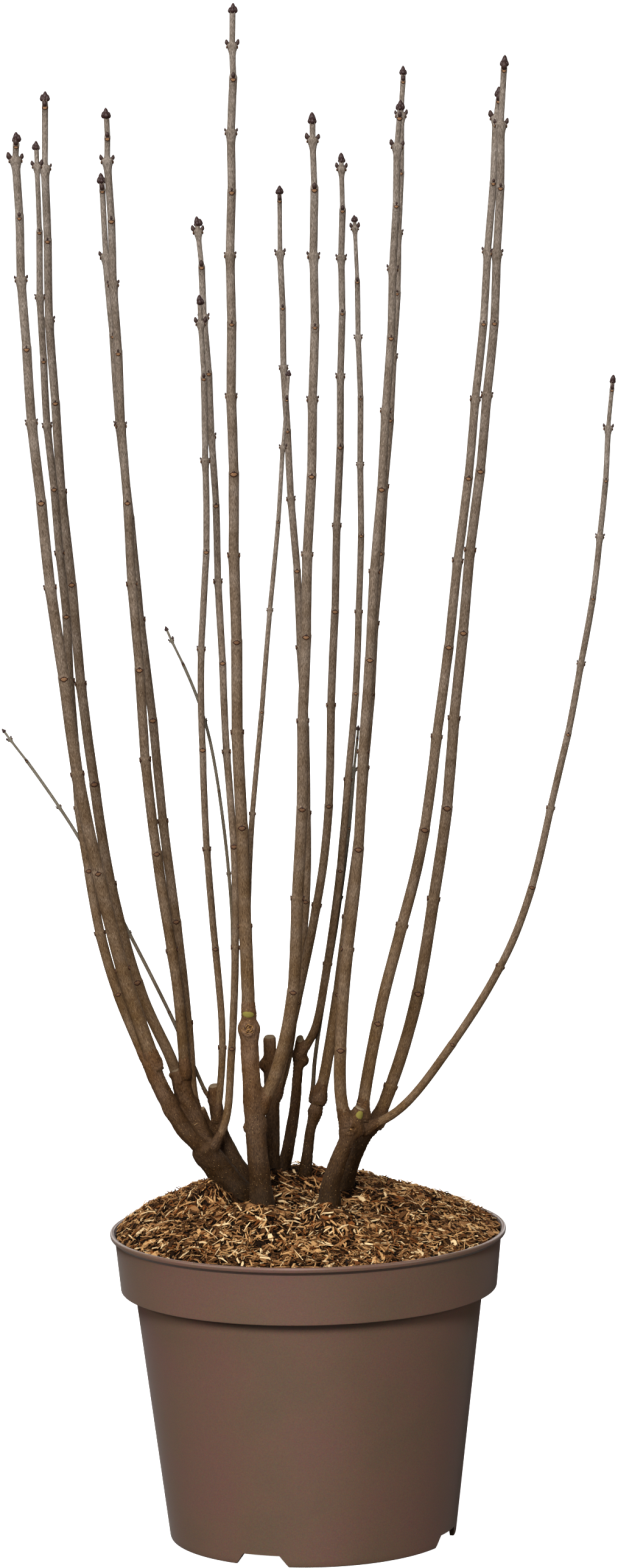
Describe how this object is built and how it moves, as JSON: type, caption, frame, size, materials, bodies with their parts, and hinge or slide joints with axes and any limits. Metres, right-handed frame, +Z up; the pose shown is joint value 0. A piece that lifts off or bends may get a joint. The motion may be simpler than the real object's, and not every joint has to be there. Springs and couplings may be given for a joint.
{
  "type": "potted lilac bush",
  "caption": "Bare winter lilac bush with many upright stems, in a round taupe plastic nursery pot topped with wood chips.",
  "frame": {"origin": "on the pot's axis, on the plane that the pot stands on", "axes": "+Z up, +X to the right and -Y to the front of the bush"},
  "size_m": [0.4346, 0.2804, 1.085],
  "materials": {
    "pot_plastic": "satin",
    "potting_mix": "matte",
    "wood_chips": "matte",
    "old_bark": "matte",
    "young_bark": "matte",
    "twig_bark": "matte"
  },
  "bodies": {
    "root": {"pot": "pot_plastic", "potting_mix": "potting_mix", "wood_chips": "wood_chips", "left_stool": "old_bark", "left_outer_bough": "old_bark", "left_inner_bough": "old_bark", "left_back_stem": "old_bark", "front_stem": "old_bark", "back_left_stem": "old_bark", "back_middle_stem": "old_bark", "back_right_stem": "old_bark", "right_stem": "old_bark", "right_back_stem": "old_bark", "dead_spur": "old_bark", "low_twig_left": "twig_bark", "shoot_01": "young_bark", "shoot_02": "young_bark", "shoot_03": "young_bark", "shoot_04": "young_bark", "shoot_05": "young_bark", "low_twig_middle": "twig_bark", "shoot_06": "young_bark", "shoot_07": "young_bark", "shoot_08": "young_bark", "shoot_09": "young_bark", "shoot_10": "young_bark", "shoot_11": "young_bark", "shoot_12": "young_bark", "shoot_13": "young_bark", "low_twig_right": "twig_bark", "shoot_14": "young_bark", "shoot_15": "young_bark", "shoot_16": "young_bark", "shoot_17": "young_bark", "shoot_18": "young_bark"}
  },
  "joints": []
}
